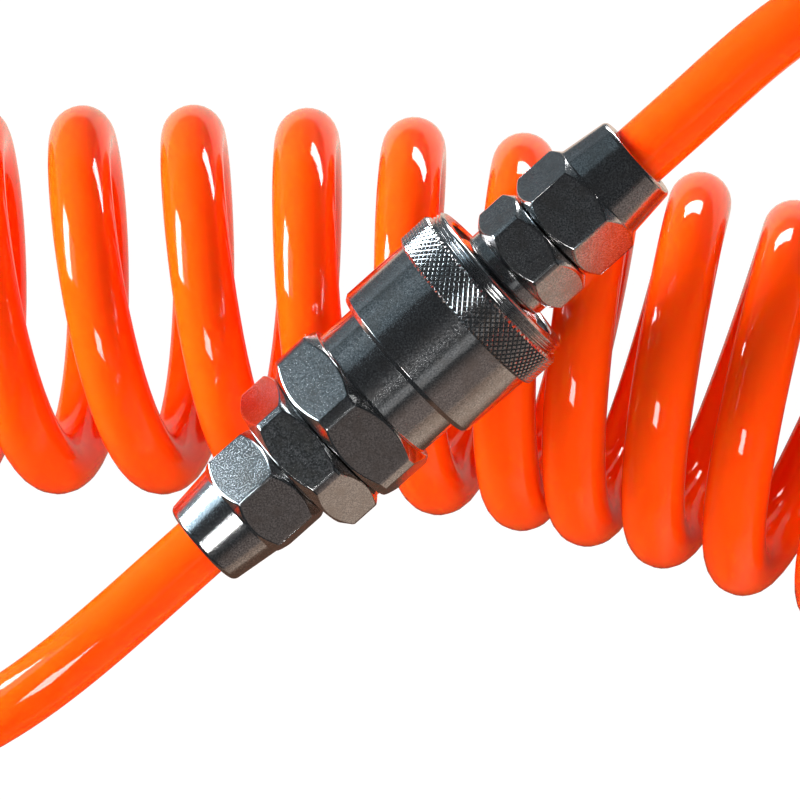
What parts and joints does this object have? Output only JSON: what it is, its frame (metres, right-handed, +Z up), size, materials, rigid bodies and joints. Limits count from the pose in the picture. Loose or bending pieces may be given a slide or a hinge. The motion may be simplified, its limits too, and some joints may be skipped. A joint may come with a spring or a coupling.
{
  "type": "coiled air hose",
  "caption": "Coiled orange polyurethane air hose lying on its side, with its quick-release socket and plug coupled together across the top of the coil.",
  "frame": {"origin": "middle of the footprint, on the surface that the coil lies on", "axes": "+X along the coil, from the socket's tail to the plug's tail; +Z up from that surface"},
  "size_m": [0.269, 0.1357, 0.0917],
  "materials": {
    "hose": "glossy",
    "plated_steel": "nickel plated, satin",
    "spring_steel": "bare spring and bearing steel",
    "brass": "turned",
    "rubber": "matt black"
  },
  "bodies": {
    "hose_and_socket": {"hose_coil": "hose", "socket_tail": "hose", "plug_tail": "hose", "socket_hose_nut": "plated_steel", "rear_adapter": "plated_steel", "adapter_seal": "rubber", "socket_body": "plated_steel", "sleeve_spring": "spring_steel", "sleeve_stop_ring": "spring_steel", "plug_seal": "rubber", "valve_spring": "spring_steel"},
    "sleeve": {"release_sleeve": "plated_steel"},
    "ball_1": {"lock_ball_1": "spring_steel"},
    "ball_2": {"lock_ball_2": "spring_steel"},
    "ball_3": {"lock_ball_3": "spring_steel"},
    "ball_4": {"lock_ball_4": "spring_steel"},
    "ball_5": {"lock_ball_5": "spring_steel"},
    "ball_6": {"lock_ball_6": "spring_steel"},
    "valve": {"valve_poppet": "brass", "valve_seal": "rubber"},
    "plug": {"plug_body": "plated_steel", "plug_hose_nut": "plated_steel"}
  },
  "joints": [
    {"name": "sleeve_slide", "type": "slide", "parent": "hose_and_socket", "child": "sleeve", "axis": [-0.7501, -0.6613, 0], "range_m": [0, 0.0045], "stiffness_N_per_m": 1200, "springref_m": -0.004, "deforming": ["sleeve_spring"]},
    {"name": "ball_1_lift", "type": "slide", "parent": "hose_and_socket", "child": "ball_1", "axis": [0, 0, 1], "range_m": [0, 0.0013]},
    {"name": "ball_2_lift", "type": "slide", "parent": "hose_and_socket", "child": "ball_2", "axis": [0.5727, -0.6496, 0.5], "range_m": [0, 0.0013]},
    {"name": "ball_3_lift", "type": "slide", "parent": "hose_and_socket", "child": "ball_3", "axis": [0.5727, -0.6496, -0.5], "range_m": [0, 0.0013]},
    {"name": "ball_4_lift", "type": "slide", "parent": "hose_and_socket", "child": "ball_4", "axis": [0, 0, -1], "range_m": [0, 0.0013]},
    {"name": "ball_5_lift", "type": "slide", "parent": "hose_and_socket", "child": "ball_5", "axis": [-0.5727, 0.6496, -0.5], "range_m": [0, 0.0013]},
    {"name": "ball_6_lift", "type": "slide", "parent": "hose_and_socket", "child": "ball_6", "axis": [-0.5727, 0.6496, 0.5], "range_m": [0, 0.0013]},
    {"name": "valve_slide", "type": "slide", "parent": "hose_and_socket", "child": "valve", "axis": [-0.7501, -0.6613, 0], "range_m": [0, 0.0018], "stiffness_N_per_m": 200, "springref_m": -0.004, "deforming": ["valve_spring"]},
    {"name": "plug_swivel", "type": "hinge", "parent": "hose_and_socket", "child": "plug", "pos_m": [0.0021, 0.0025, 0.0768], "axis": [0.7501, 0.6613, 0], "continuous": true}
  ],
  "couplings": [
    {"joint": "ball_1_lift", "follows": "sleeve_slide", "ratio": 0.2888},
    {"joint": "ball_2_lift", "follows": "sleeve_slide", "ratio": 0.2888},
    {"joint": "ball_3_lift", "follows": "sleeve_slide", "ratio": 0.2888},
    {"joint": "ball_4_lift", "follows": "sleeve_slide", "ratio": 0.2888},
    {"joint": "ball_5_lift", "follows": "sleeve_slide", "ratio": 0.2888},
    {"joint": "ball_6_lift", "follows": "sleeve_slide", "ratio": 0.2888}
  ]
}
